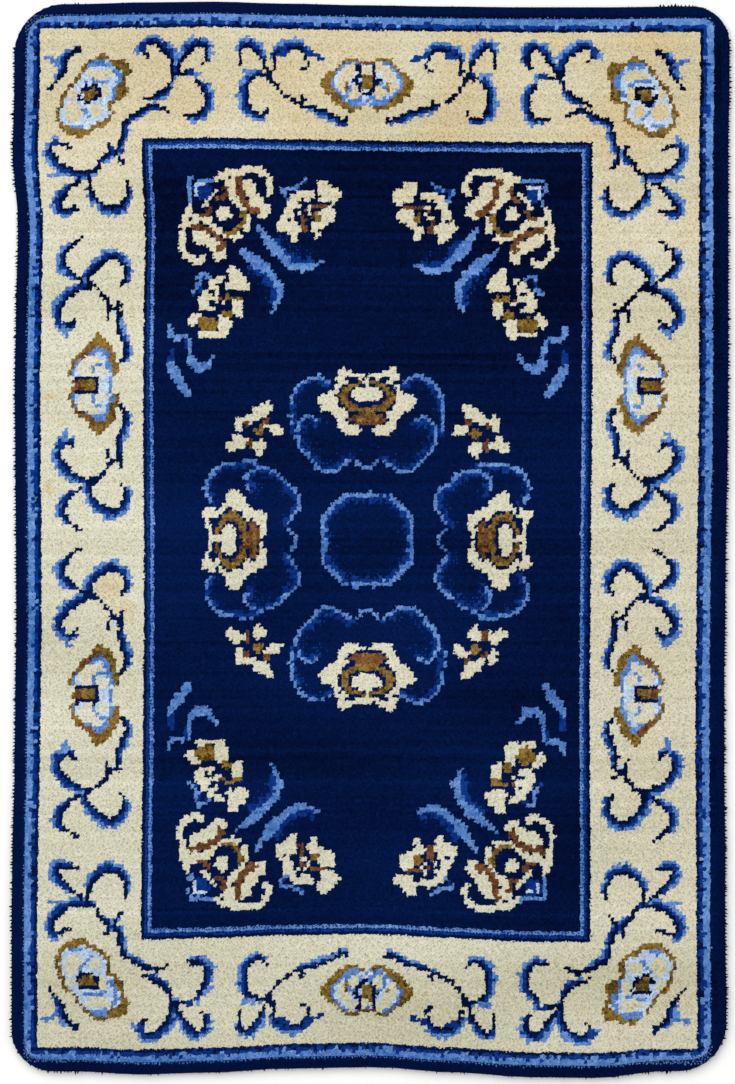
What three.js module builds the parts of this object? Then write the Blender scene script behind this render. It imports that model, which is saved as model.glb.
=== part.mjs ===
// A small hand-knotted wool rug lying flat: a cut pile on a thin woven ground, all one piece.
// Millimetres, +Z up. The underside lies on z = 0, the rug's length runs along Y, and the
// origin is under the middle of the rug.
import * as THREE from "three";

// Sizes of the whole rug, measured to the tips of the pile.
const WIDTH = 610;
const LENGTH = 914;
const THICKNESS = 11;

// Spacing of the points along a side, and points round a corner.
const SIDE_STEP = 22;
const CORNER_STEPS = 8;

// How far the two long edges stray outwards from a straight line, at places along Y.
const LONG_EDGES = [
  { at: -390, left: 2.6, right: 0.0 },
  { at: -325, left: 2.7, right: -0.9 },
  { at: -260, left: 2.0, right: -0.9 },
  { at: -195, left: 0.3, right: -1.7 },
  { at: -130, left: -0.4, right: -1.7 },
  { at: -65, left: -1.2, right: -0.9 },
  { at: 0, left: -1.0, right: -0.3 },
  { at: 65, left: -0.4, right: 1.1 },
  { at: 130, left: 0.1, right: 1.7 },
  { at: 195, left: -1.0, right: 1.7 },
  { at: 260, left: -2.7, right: 1.7 },
  { at: 325, left: 2.0, right: 1.7 },
  { at: 390, left: 0.3, right: 2.7 },
];

// The same for the two short edges, at places along X.
const SHORT_EDGES = [
  { at: -260, top: 1.6, bottom: -2.1 },
  { at: -195, top: 3.3, bottom: 1.0 },
  { at: -130, top: 3.9, bottom: -0.7 },
  { at: -65, top: 2.2, bottom: -4.1 },
  { at: 0, top: 0.8, bottom: -5.2 },
  { at: 65, top: -0.2, bottom: -0.9 },
  { at: 130, top: -0.9, bottom: 3.2 },
  { at: 195, top: -0.9, bottom: 3.9 },
  { at: 260, top: -0.1, bottom: -2.5 },
];

// The corners, counter-clockwise from the top right, each drawn in to its own radius.
const CORNERS = [
  { sideX: 1, sideY: 1, radius: 27 },
  { sideX: -1, sideY: 1, radius: 38 },
  { sideX: -1, sideY: -1, radius: 30 },
  { sideX: 1, sideY: -1, radius: 36 },
];

// The rim from the floor up: the thin ground, the outermost tufts splaying out over it,
// and the rounded shoulder of the pile. Inset is measured in from the reach of the tips.
const RIM = [
  { inset: 5.0, z: 0 },
  { inset: 3.4, z: 1.4 },
  { inset: 1.0, z: 4.6 },
  { inset: 0.0, z: 7.4 },
  { inset: 1.2, z: 9.4 },
  { inset: 4.4, z: 10.6 },
  { inset: 9.5, z: THICKNESS },
];

const QUARTER_TURN = Math.PI / 2;

// Half sizes of the straight-edged rug. Opposite edges stray equally far at their widest, so
// the whole stays centred on the origin.
const widestStray = (rows, edge) => Math.max(...rows.map((row) => row[edge]));
const HALF_WIDTH = WIDTH / 2 - widestStray(LONG_EDGES, "left");
const HALF_LENGTH = LENGTH / 2 - widestStray(SHORT_EDGES, "top");

// The stray of one edge at a place along it, eased from row to row of its table.
function strayAt(rows, edge, place) {
  let stray = rows[0][edge];
  for (let i = 1; i < rows.length; i++) {
    const share = THREE.MathUtils.smoothstep(place, rows[i - 1].at, rows[i].at);
    stray += share * (rows[i][edge] - rows[i - 1][edge]);
  }
  return stray;
}

// Moves a point of the straight-edged rug with the edges that it lies between.
function followEdges(point) {
  const longEdge = point.x < 0 ? "left" : "right";
  const shortEdge = point.y < 0 ? "bottom" : "top";
  const outX = strayAt(LONG_EDGES, longEdge, point.y) / HALF_WIDTH;
  const outY = strayAt(SHORT_EDGES, shortEdge, point.x) / HALF_LENGTH;
  return new THREE.Vector2(point.x * (1 + outX), point.y * (1 + outY));
}

// A point on a corner's arc; turn counts quarter turns from +X.
function cornerPoint(corner, inset, turn) {
  const centreX = corner.sideX * (HALF_WIDTH - corner.radius);
  const centreY = corner.sideY * (HALF_LENGTH - corner.radius);
  const radius = corner.radius - inset;
  const angle = turn * QUARTER_TURN;
  return new THREE.Vector2(centreX + radius * Math.cos(angle), centreY + radius * Math.sin(angle));
}

// The rug's outline, counter-clockwise, drawn in by inset: each corner and the side after it.
function outline(inset) {
  const points = [];
  CORNERS.forEach((corner, i) => {
    for (let step = 0; step <= CORNER_STEPS; step++) {
      points.push(cornerPoint(corner, inset, i + step / CORNER_STEPS));
    }
    const sideStart = points.at(-1);
    const sideEnd = cornerPoint(CORNERS[(i + 1) % CORNERS.length], inset, i + 1);
    const sideLength = i % 2 === 0 ? WIDTH : LENGTH;
    const sideSteps = Math.round(sideLength / SIDE_STEP);
    for (let step = 1; step < sideSteps; step++) {
      points.push(new THREE.Vector2().lerpVectors(sideStart, sideEnd, step / sideSteps));
    }
  });
  return points.map(followEdges);
}

// One closed skin over the rim's outlines, with a flat face under and over it.
function rugGeometry() {
  const rings = RIM.map((row) => outline(row.inset));
  const count = rings[0].length;
  const positions = rings.flatMap((ring, level) =>
    ring.flatMap((point) => [point.x, point.y, RIM[level].z]));

  const triangles = [];
  for (let level = 0; level < rings.length - 1; level++) {
    for (let i = 0; i < count; i++) {
      const next = (i + 1) % count;
      const low = level * count;
      const high = low + count;
      triangles.push(low + i, low + next, high + next);
      triangles.push(low + i, high + next, high + i);
    }
  }
  const topStart = (rings.length - 1) * count;
  for (const [a, b, c] of THREE.ShapeUtils.triangulateShape(rings[0], [])) {
    triangles.push(c, b, a);
  }
  for (const [a, b, c] of THREE.ShapeUtils.triangulateShape(rings.at(-1), [])) {
    triangles.push(topStart + a, topStart + b, topStart + c);
  }

  const geometry = new THREE.BufferGeometry();
  geometry.setAttribute("position", new THREE.Float32BufferAttribute(positions, 3));
  geometry.setIndex(triangles);
  geometry.computeVertexNormals();
  return geometry;
}

const navyWool = new THREE.MeshStandardMaterial({ color: 0x06164f, roughness: 0.95, metalness: 0 });

const rug = new THREE.Mesh(rugGeometry(), navyWool);
rug.name = "rug";

const group = new THREE.Group();
group.add(rug);

export default group;
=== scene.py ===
import math

import bmesh
import bpy
import numpy as np
from mathutils.kdtree import KDTree
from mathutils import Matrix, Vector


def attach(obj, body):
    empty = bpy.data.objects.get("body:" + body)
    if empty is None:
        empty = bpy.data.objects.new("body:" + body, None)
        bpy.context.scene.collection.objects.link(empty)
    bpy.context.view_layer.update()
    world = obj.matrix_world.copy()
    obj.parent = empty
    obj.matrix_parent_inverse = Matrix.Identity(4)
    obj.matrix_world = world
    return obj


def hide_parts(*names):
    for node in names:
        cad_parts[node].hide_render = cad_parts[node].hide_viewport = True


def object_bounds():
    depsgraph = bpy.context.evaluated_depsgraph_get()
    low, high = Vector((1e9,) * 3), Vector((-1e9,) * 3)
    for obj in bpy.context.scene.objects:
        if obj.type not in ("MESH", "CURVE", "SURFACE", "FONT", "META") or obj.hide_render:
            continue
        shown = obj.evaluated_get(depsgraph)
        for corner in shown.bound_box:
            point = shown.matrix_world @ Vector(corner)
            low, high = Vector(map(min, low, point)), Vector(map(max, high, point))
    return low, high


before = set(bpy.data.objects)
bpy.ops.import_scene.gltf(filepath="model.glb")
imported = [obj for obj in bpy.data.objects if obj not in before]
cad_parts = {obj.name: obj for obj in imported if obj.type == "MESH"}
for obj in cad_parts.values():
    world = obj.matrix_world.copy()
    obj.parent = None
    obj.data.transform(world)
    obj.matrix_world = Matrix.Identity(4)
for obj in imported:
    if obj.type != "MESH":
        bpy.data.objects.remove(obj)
cadLow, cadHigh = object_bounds()
mm = 0.001


def linear(hexColour):  # an sRGB hex colour as the linear colour that shaders work in
    parts = [int(hexColour[i:i + 2], 16) / 255 for i in (1, 3, 5)]
    return [p / 12.92 if p <= 0.04045 else ((p + 0.055) / 1.055) ** 2.4 for p in parts] + [1.0]


def node(tree, kind, inputs=None, **settings):  # adds a node; an input is a value or another node's socket
    made = tree.nodes.new(kind)
    for name, value in settings.items():
        setattr(made, name, value)
    for socket, value in (inputs or {}).items():
        if isinstance(value, bpy.types.NodeSocket):
            tree.links.new(value, made.inputs[socket])
        else:
            made.inputs[socket].default_value = value
    return made


# the rug's edge, read from the solid: the widest of its outlines, counter-clockwise, in mm
solid = np.array([v.co[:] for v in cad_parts["rug"].data.vertices]) / mm
reachHeight = solid[solid[:, 0].argmax(), 2]
edge = np.unique(solid[np.abs(solid[:, 2] - reachHeight) < 0.01, :2].round(2), axis=0)
edge = edge[np.argsort(np.arctan2(edge[:, 1] / cadHigh.y, edge[:, 0] / cadHigh.x))]
edgeHalf = np.abs(edge).max(0)
print("edge", len(edge), "points, half sizes", edgeHalf)

# the knot chart: one yarn number for each knot, drawn in millimetres from the middle of the rug
knotChart = {
    "pitch": 2.9,  # mm between knots, both ways
    "halfWidth": 302.6,  # half sizes of the rug on the average of its uneven edges
    "halfLength": 453.2,
    "cornerRound": 20.0,  # the outer stripes turn the corner on this radius
    "outerGuard": [  # mm in from the edge that each stripe reaches to, and mm that single knots stray
        ("navy", 11.0, 0.0), ("sky", 16.9, 1.9), ("royal", 19.8, 1.9), ("navy", 22.6, 0.4),
    ],
    "rightWider": 2.9,  # the right edge was knotted this much wider
    "offCentre": (-2.9, 0.0),  # and the pattern set a little to the left
    "fieldBox": (190.5, 337.2),  # half sizes of the opening in the border
    "innerGuard": [  # yarns of a knot's two strands, and mm in from that opening
        ("navy", "navy", 2.9), ("royal", "navy", 6.2), ("sky", "royal", 9.2),
    ],
    "blend": 0.7,  # share of royal strands where the navy glows most
    "lastGlow": 0.4,  # how much the outer guard's last stripe glows
    "stray": 0.8,  # mm that a hand-knotted line wanders
    "straySize": 120.0,  # mm from one wander to the next
    "slip": 0.3,  # mm that single knots miss it by
    "fray": 1.2,  # mm that the paler shading of a line is uneven
    "swell": 0.6,  # how soon that shading is full: 1 is evenly, and less is sooner
    "leastSwell": 0.15,  # it starts at this share of its width
}
yarnNames = ["navy", "cream", "royal", "sky", "pale", "gold", "brown"]
yarnOf = {name: number for number, name in enumerate(yarnNames)}


def knotGrid(pitch, halfWidth, halfLength):
    across = round(2 * halfWidth / pitch)
    along = round(2 * halfLength / pitch)
    x = (np.arange(across) + 0.5) * pitch - across * pitch / 2
    y = (np.arange(along) + 0.5) * pitch - along * pitch / 2
    gridX, gridY = np.meshgrid(x, y)
    return gridX.ravel(), gridY.ravel()


def slowNoise(x, y, size, seed, waves=24):  # smooth noise between about -1 and 1, in lumps of a size
    rng = np.random.default_rng(seed)
    angle = rng.uniform(0, 2 * math.pi, waves)
    pace = 2 * math.pi / size * rng.uniform(0.5, 1.3, waves)
    start = rng.uniform(0, 2 * math.pi, waves)
    total = np.zeros(len(x))
    for a, p, s in zip(angle, pace, start):
        total += np.sin(p * (x * math.cos(a) + y * math.sin(a)) + s)
    return total / math.sqrt(waves)


def smoothLine(points, closed=False, perSpan=8):  # an even curve through a few given points
    p = np.array(points, float)
    if closed:
        p = np.vstack([p[-1], p, p[:2]])
    else:
        p = np.vstack([2 * p[0] - p[1], p, 2 * p[-1] - p[-2]])
    t = np.linspace(0, 1, perSpan, endpoint=False)[:, None]
    spans = []
    for a, b, c, d in zip(p, p[1:], p[2:], p[3:]):
        bend = 2 * a - 5 * b + 4 * c - d
        twist = 3 * b - a - 3 * c + d
        spans.append(b + ((c - a) * t + bend * t**2 + twist * t**3) / 2)
    return np.vstack(spans + [p[-2:-1]])


def near(at, low, high):  # the knots in a box
    return np.flatnonzero((at[0] > low[0]) & (at[0] < high[0]) & (at[1] > low[1]) & (at[1] < high[1]))


def nearLine(at, line, reach):  # knots within reach of a line: which, how far, on which side, share along
    found = near(at, line.min(0) - reach, line.max(0) + reach)
    toX = at[0][found, None] - line[:, 0]
    toY = at[1][found, None] - line[:, 1]
    square = toX**2 + toY**2
    nearest = square.argmin(1)
    rows = np.arange(len(found))
    heading = np.gradient(line, axis=0)[nearest]
    side = heading[:, 0] * toY[rows, nearest] - heading[:, 1] * toX[rows, nearest]
    return found, np.sqrt(square[rows, nearest]), side, nearest / (len(line) - 1)


def stroke(at, yarn, points, width, taper=0.0, thin=0.0):
    found, away, side, share = nearLine(at, smoothLine(points), width)
    half = (width / 2 - thin) * (1 - taper * np.abs(2 * share - 1) ** 2)
    chart[found[away < half]] = yarnOf[yarn]


def shadedStroke(at, points, core, side, shades, span=(0.1, 0.9)):
    # a dark line, with paler yarns swelling out on one side of it: +1 is to the left of its run
    reach = core / 2 + shades[-1][1]
    found, away, hand, share = nearLine(at, smoothLine(points), reach + 1)
    swell = np.clip((share - span[0]) / (span[1] - span[0]), 0, 1)
    swell = np.sin(math.pi * swell) ** knotChart["swell"]
    shaded = (hand * side > 0) & (swell > knotChart["leastSwell"])
    frayed = away + knotChart["fray"] * uneven[found]
    for yarn, width in reversed(shades):
        chart[found[shaded & (frayed < core / 2 + width * swell)]] = yarnOf[yarn]
    chart[found[away < core / 2]] = yarnOf["navy"]


def petal(at, yarn, points, thin=0.0):  # fills a closed curve
    line = smoothLine(points, closed=True)
    found = near(at, line.min(0), line.max(0))
    x, y = at[0][found], at[1][found]
    inside = np.zeros(len(found), bool)
    for (x0, y0), (x1, y1) in zip(line, line[1:]):
        if y0 != y1:
            inside ^= ((y0 > y) != (y1 > y)) & (x < (x1 - x0) * (y - y0) / (y1 - y0) + x0)
    if thin:
        byEdge, away, side, share = nearLine(at, line, thin)
        inside &= ~np.isin(found, byEdge[away < thin])
    chart[found[inside]] = yarnOf[yarn]


def spot(at, yarn, centre, radius, thin=0.0):
    radiusX, radiusY = radius if isinstance(radius, tuple) else (radius, radius)
    x, y = (at[0] - centre[0]) / (radiusX - thin), (at[1] - centre[1]) / (radiusY - thin)
    chart[x**2 + y**2 < 1] = yarnOf[yarn]


def block(at, yarn, low, high, thin=0.0):
    chart[near(at, (low[0] + thin, low[1] + thin), (high[0] - thin, high[1] - thin))] = yarnOf[yarn]


def turnedAxes(at, degrees):  # the same places in axes turned by an angle
    c, s = math.cos(math.radians(degrees)), math.sin(math.radians(degrees))
    return at[0] * c + at[1] * s, at[1] * c - at[0] * s


# guard stripes and grounds: the outer ones follow the edge, and the inner ones the pattern
def chartBands(whole, at):
    turn = knotChart["cornerRound"]
    outX = np.abs(whole[0]) - knotChart["halfWidth"] + turn + knotChart["rightWider"] * (whole[0] > 0)
    outY = np.abs(whole[1]) - knotChart["halfLength"] + turn
    inCorner = (outX > 0) & (outY > 0)
    fromEdge = np.where(inCorner, turn - np.hypot(outX, outY), turn - np.maximum(outX, outY))
    fieldX, fieldY = knotChart["fieldBox"]
    intoField = np.minimum(fieldX - np.abs(at[0]), fieldY - np.abs(at[1]))
    chart[:] = yarnOf["cream"]
    for yarn, depth, stray in reversed(knotChart["outerGuard"]):
        chart[fromEdge + stray * uneven < depth] = yarnOf[yarn]
    lastStripe = (fromEdge > knotChart["outerGuard"][-2][1]) & (chart == yarnOf["navy"])
    glow[lastStripe] = knotChart["lastGlow"]
    chart[intoField > 0] = yarnOf["navy"]
    for yarn, other, depth in reversed(knotChart["innerGuard"]):
        line = (intoField > 0) & (intoField < depth)
        chart[line] = yarnOf[yarn]
        second[line] = yarnOf[other]


# a motif is a list of shapes laid one over another: how, in which yarn, and where
def drawMotif(at, shapes, thin=0.0):
    ways = {"fill": petal, "line": stroke, "spot": spot, "block": block}
    for way, yarn, *where in shapes:
        ways[way](at, yarn, *where, thin=thin if yarn == "cream" else 0.0)


# the border's vines, u along the border from a flower or a corner and v outwards: hooks, each with the
# side and the part of it that its shading swells on, a stem, and small shapes
vine = {
    "core": 3.3,  # mm across the dark line
    "shade": [("royal", 3.2), ("sky", 6.2)],  # mm that the shading reaches out
    "stemShade": [("royal", 2.4), ("sky", 4.4)],
    "stemSpan": (0.35, 0.95),
}
sideVine = {
    "hooks": [
        ([
            (81, 3), (76, 14), (70.7, 20), (64.6, 24.3), (58.6, 26), (53, 24.3), (49.5, 19.4),
            (51.3, 15), (54.5, 13),
        ], -1, (-0.2, 0.95)),
        ([
            (84, 4), (90, 11.6), (95, 17.6), (99.7, 22), (105.7, 23.4), (110.6, 22), (116.6, 17.6),
            (123, 8.5),
        ], 1, (0.15, 0.85)),
        ([
            (86, 1.5), (92, 0.5), (97.3, -4), (102.7, -10), (106.7, -17.4), (104.5, -23.5), (99, -28.3),
            (93.6, -30), (88, -29), (85, -26),
        ], 1, (-0.1, 0.95)),
    ],
    "stem": [
        (83, -3), (75.5, -11), (67, -17.4), (63, -21.5), (57.4, -24), (49, -23.7), (39, -26.5),
        (33, -29.5), (28.4, -30), (23.5, -29), (19, -26.5),
    ],
    "small": [
        ("line", "royal", [(53, 25), (47, 22)], 5.5), ("line", "sky", [(47, 22), (40, 20)], 4.6),
        ("line", "navy", [(69, -25.3), (58, -25.3)], 3.0),
        ("line", "navy", [(65, -16), (56, -13.8)], 3.4), ("line", "navy", [(64, -17), (64, -25)], 3.0),
        ("spot", "pale", (60, -20), 1.8), ("spot", "navy", (83, 0.5), 4.4),
    ],
}
endVine = {
    "hooks": [
        ([
            (80, 5), (77.7, 16.7), (74.6, 23.4), (68.6, 25.2), (61.3, 27), (55.3, 25.8), (51.7, 20.3),
            (49.5, 13), (53.5, 8.5),
        ], -1, (0.1, 0.8)),
        ([
            (84, 5), (88, 14.3), (92.8, 21.5), (97.6, 26.4), (102.4, 28.2), (106, 24.6), (107.5, 19),
            (107.3, 12.5),
        ], 1, (0.1, 0.8)),
        ([
            (84, 3), (94, 1.6), (99.4, -3.2), (102.2, -10.5), (102.2, -18.4), (99.4, -25.6),
            (94, -30.5), (88, -30.5), (84.3, -26.8),
        ], 1, (0.0, 0.95)),
    ],
    "stem": [
        (82, 0), (75.8, -8.7), (68.6, -14.7), (61.3, -18.4), (53, -21.4), (42, -23.8), (33.5, -26.2),
        (25, -31), (19, -33.5), (16, -31),
    ],
    "small": [
        ("line", "royal", [(51, 23), (43, 20.5), (37, 18)], 4.0),
        ("line", "royal", [(74, 21), (67, 23)], 5.0), ("line", "sky", [(95, 4.6), (105, 5)], 3.6),
        ("spot", "navy", (54.5, -16.5), 2.8), ("spot", "navy", (82.5, 2.5), 3.6),
    ],
}
cornerSideVine = {
    "hooks": [
        ([
            (83.5, 0), (82.5, 12.8), (80, 18.8), (74.7, 25), (68, 29), (63.8, 30.5), (60.8, 28.5),
            (60.2, 23.7), (60.8, 17.6),
        ], -1, (-0.2, 0.85)),
        ([
            (90, 7), (96.4, 15.2), (102.5, 20), (107.3, 24.3), (112.2, 25.7), (115.8, 23.7),
            (115, 17.6), (114.6, 11),
        ], 1, (0.1, 0.95)),
        ([
            (86, 0), (94, 0), (101.3, -1.7), (107.3, -6.6), (112.2, -12.6), (114, -18.6),
            (112.2, -24.7), (106, -29.5), (99, -31.3), (93, -31.3),
        ], 1, (0.1, 0.95)),
    ],
    "stem": [(84.4, -1.7), (80.7, -7.2), (74.7, -9), (69.8, -13.8), (65.6, -16.8), (59.6, -16.2)],
    "small": [
        ("line", "sky", [(85.5, 17), (86, 26), (86, 34)], 3.6, 0.4), ("spot", "royal", (58, 28), 3.4),
        ("spot", "sky", (54.5, 27), 2.6), ("line", "navy", [(62, 16.5), (63.5, 13)], 2.6),
    ],
}
cornerEndVine = {
    "hooks": [
        ([
            (83, 4), (81.8, 9.5), (80, 16.7), (76.3, 22.8), (71.5, 26.4), (66, 30), (60.6, 28.8),
            (59.2, 22.8), (60.4, 18),
        ], -1, (-0.1, 0.9)),
        ([
            (87, 8), (89.6, 13), (94.5, 19), (99.3, 25.2), (105.4, 28.8), (110.2, 25.8), (111.2, 19),
            (110.2, 14.3), (107.5, 11.6),
        ], 1, (0.05, 0.9)),
        ([
            (103, -1.4), (107.8, -7.5), (110.6, -14.7), (110.2, -23.2), (106.6, -29), (100.5, -30.7),
            (94.2, -29.8),
        ], 1, (-0.05, 1.0)),
    ],
    "stem": [(83, 4), (82, -1), (77.5, -8.7), (70.3, -13.5), (59.4, -19)],
    "small": [
        ("line", "navy", [(84, 4), (90, 4), (97, 5)], 4.0), ("line", "royal", [(96, 5), (101, 5)], 3.6),
        ("spot", "sky", (104, 4.8), 2.2), ("spot", "royal", (56, 25.5), 4.4),
        ("spot", "sky", (51.5, 23.5), 3.0),
    ],
}


def chartVine(at, unit):
    shadedStroke(at, unit["stem"], vine["core"], 1, vine["stemShade"], vine["stemSpan"])
    for points, side, span in unit["hooks"]:
        shadedStroke(at, points, vine["core"], side, vine["shade"], span)
    drawMotif(at, unit["small"])


# the border's flowers: the first two are halves, u along the border and v outwards; the corner's is whole
sideLotus = [
    ("fill", "gold", [
        (0, -10), (7, -14), (8.5, -18.5), (10, -21.5), (14.5, -22), (21, -19.3), (28.4, -17.3),
        (34.5, -14.3), (38.7, -9.4), (43.5, -3.4), (39.5, 0.5), (34, 4.2), (30.3, 8.7), (26, 13),
        (20, 17.4), (14, 19.8), (8.5, 21.6), (6, 17), (0, 16.5), (-6, 0),
    ]),
    ("line", "brown", [(33, -1), (28, 5), (24, 10.5)], 3.6),
    ("fill", "sky", [
        (0, -14), (5, -16), (10, -16.8), (15, -16), (19, -13.5), (24, -12.3), (29, -9.5), (33, -5),
        (30, -0.5), (25, 6), (21.5, 11), (17.5, 15.5), (11, 18), (6, 17), (0, 15), (-6, 0),
    ]),
    ("fill", "pale", [
        (0, -12), (4, -13.5), (9, -14), (13, -12.5), (17, -10.5), (22, -9.5), (26, -7), (27.5, -4),
        (25.5, 0), (23, 5), (20, 10), (16, 15), (11, 17), (6, 16), (0, 14), (-6, 0),
    ]),
    ("spot", "cream", (15.5, 5), (8.5, 8.5)), ("spot", "cream", (21, -1), (4.5, 5.5)),
    ("spot", "cream", (10.5, -7), (4.6, 4.6)),
    ("line", "sky", [(9, 1), (14, 0), (17.5, -3.4), (19, -8)], 2.4),
    ("block", "navy", (-1, -4.8), (7.2, 16)), ("block", "gold", (-1, -0.5), (4.2, 16)),
    ("block", "brown", (-1, 9.5), (4.2, 16)),
]
endLotus = [
    ("fill", "gold", [
        (0, 17), (5.7, 20), (9, 22.5), (14, 23), (19.4, 21), (24.7, 16), (28.4, 12), (33.2, 9.2),
        (37.4, 5), (39.5, 0), (36.4, -5.5), (31, -10.8), (25.8, -16), (20.5, -18.5), (15, -22),
        (8, -22), (4, -18), (0, -15), (-6, 0),
    ]),
    ("fill", "sky", [
        (0, 15), (7, 19), (14, 20), (20.5, 17), (26, 11), (30, 3), (28.5, -4), (22, -10), (18, -15),
        (11, -18.5), (5, -17), (0, -15), (-6, 0),
    ]),
    ("fill", "pale", [
        (0, 14), (7, 17.5), (13.5, 18), (19, 15), (24.5, 9), (27.5, 2.5), (26, -3.5), (20, -9),
        (16, -14), (10.5, -16), (5, -15), (0, -13), (-6, 0),
    ]),
    ("line", "cream", [(11, 15), (18, 7.5), (21.5, -2)], 8.6), ("spot", "sky", (10, -7.5), (7.4, 8.8)),
    ("spot", "cream", (10, -6.6), (4.8, 6.2)), ("line", "gold", [(17, 1), (16.5, -6)], 2.2),
    ("line", "navy", [(7.3, 16), (6.2, 8.5), (8, 3), (6.7, 0), (4.6, -5.3), (-1, -9)], 3.4),
    ("spot", "navy", (10, 3), 2.0), ("block", "gold", (-1, -4), (4.4, 9)),
    ("block", "cream", (-1, 9), (4.2, 15)), ("line", "brown", [(-1, 17.5), (5.5, 17)], 3.0),
]
cornerLotus = [
    ("fill", "gold", [
        (-10, 33.5), (-17, 29.5), (-29, 28), (-34, 17), (-29.5, 10), (-31, 0), (-24, -6.5), (-17, -9.5),
        (-19, -18), (-13.5, -26), (-4, -30), (4, -36), (12, -36.5), (21.5, -32), (28.5, -19),
        (25.5, -8), (21.5, 3), (14, 10.5), (10.5, 16), (4, 24), (-4, 31),
    ]),
    ("fill", "pale", [
        (-4, 28), (-14, 28), (-18, 23), (-26, 18), (-26.5, 9), (-21, 4), (-20, -4), (-14, -8),
        (-15, -17), (-11, -23), (-3, -26), (5, -30), (14, -29), (21, -26), (24.5, -18), (22.5, -8),
        (19, 0), (14, 7), (8, 13.5), (5, 19), (0, 25),
    ]),
    ("line", "sky", [(-2, 25), (-8, 25.8), (-14, 24.6)], 5.4),
    ("line", "sky", [(-20, 19), (-24, 13), (-22, 6)], 4.0),
    ("line", "sky", [(-18.5, 4), (-18, -4)], 3.0), ("spot", "cream", (-8, 16.6), (10.5, 4.6)),
    ("line", "sky", [(4, 10.6), (-5, 11), (-13, 8.6)], 2.2), ("spot", "cream", (-12.5, 1), (3.6, 6.5)),
    ("spot", "cream", (13.5, -15), (7.2, 8.6)), ("line", "sky", [(15, -27), (6, -27.5)], 3.0),
    ("spot", "cream", (-5, -14.5), (5, 5.2)), ("line", "sky", [(7.5, -10), (3, -16), (-1, -21)], 2.6),
    ("spot", "cream", (14.5, 0), (4.6, 4.0)),
    ("fill", "gold", [(6, 4), (-5, 4), (-5, -2), (1.5, -7), (6, -3)]),
    ("line", "navy", [(6.5, 5.4), (-7, 5.4), (-7, -2.5)], 3.2),
    ("line", "navy", [(10, -2), (2.5, -7.8), (-6, -2)], 3.2),
]
border = {
    "sideLine": 235.0,  # mm from the middle line to the middle of the long borders' vines
    "endLine": 388.0,
    "sideFlower": (231.8, 131.0),
    "endFlower": 385.4,
    "cornerFlower": (233.9, 376.2),
    "cornerSide": 393.4,  # where the corner's vines are measured from, along y
    "cornerEnd": 247.2,  # and along x
    "innerStem": [
        (205.7, 315.4), (209, 318.7), (212, 325), (211, 330), (208, 339), (206.5, 347), (204, 354),
        (197, 357), (189.7, 361), (181, 364.3), (174, 363), (167.3, 358.6),
    ],
    "outerStem": [(268.3, 379.8), (260, 389.5), (255, 396.7), (254.4, 403), (250, 409.4), (244.7, 416)],
    "outerSmall": [
        ("line", "sky", [(261, 398), (265, 405), (272, 407)], 3.6), ("spot", "navy", (243.5, 413), 2.2),
    ],
}


def chartBorder(at):
    x, y = np.abs(at[0]), np.abs(at[1])
    outSide, outEnd = x - border["sideLine"], y - border["endLine"]
    flowerX, flowerY = border["sideFlower"]
    chartVine((y - flowerY, outSide), sideVine)
    chartVine((flowerY - y, outSide), sideVine)
    chartVine((x, outEnd), endVine)
    chartVine((border["cornerSide"] - y, outSide), cornerSideVine)
    chartVine((border["cornerEnd"] - x, outEnd), cornerEndVine)
    shadedStroke((x, y), border["innerStem"], vine["core"], 1, vine["stemShade"])
    shadedStroke((x, y), border["outerStem"], vine["core"], -1, vine["shade"])
    drawMotif((x, y), border["outerSmall"])
    drawMotif((np.abs(y - flowerY), x - flowerX), sideLotus)
    drawMotif((x, y - border["endFlower"]), endLotus)
    drawMotif((x - border["cornerFlower"][0], y - border["cornerFlower"][1]), cornerLotus)


# the field's flowers came out smaller than drawn, as the knots were beaten tighter
drawnTo = {"across": 0.945, "along": 0.97}
creamThin = {  # mm off each side of their cream shapes
    "medallion": 0.6, "sprig": 0.3, "bigFlower": 0.6, "endFlower": 0.4, "sideFlower": 0.4,
}


def flowerAxes(at, centre):
    return (at[0] - centre[0]) / drawnTo["across"], (at[1] - centre[1]) / drawnTo["along"]


# the medallion: s across a petal from its middle, t out from the middle of the rug
medallion = {
    "ringHalf": (38.5, 40.0),
    "ringCut": 58.0,  # where the ring's corners are cut, x and y added
    "ring": [("sky", 2.6, 3.0), ("royal", 6.0, 4.0)],  # mm in, and mm more that single knots reach
    "flowerOut": (116.0, 120.0),  # across the rug, and along it
    "clouds": [  # points, and mm of shading inside
        ([(31, 133), (43, 138), (56, 132), (63, 121), (65, 108), (65, 95)], 4.5),
        ([
            (42, 102), (51, 104), (58, 97), (59.5, 87), (56.5, 78), (48, 69), (41, 60.5), (30, 57.5),
            (20, 63), (14, 67),
        ], 6.0),
    ],
    "cloudLine": 2.8,
    "cloudGlow": 2.0,  # the navy glows this many times as far in
    "ringGlow": 14.0,  # mm in from the ring that its navy glows
    "bead": [("line", "sky", [(9, 66), (4, 61.5), (0, 60.5)], 2.8)],
    "sprigAt": (98.0, 92.0),
}
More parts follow.
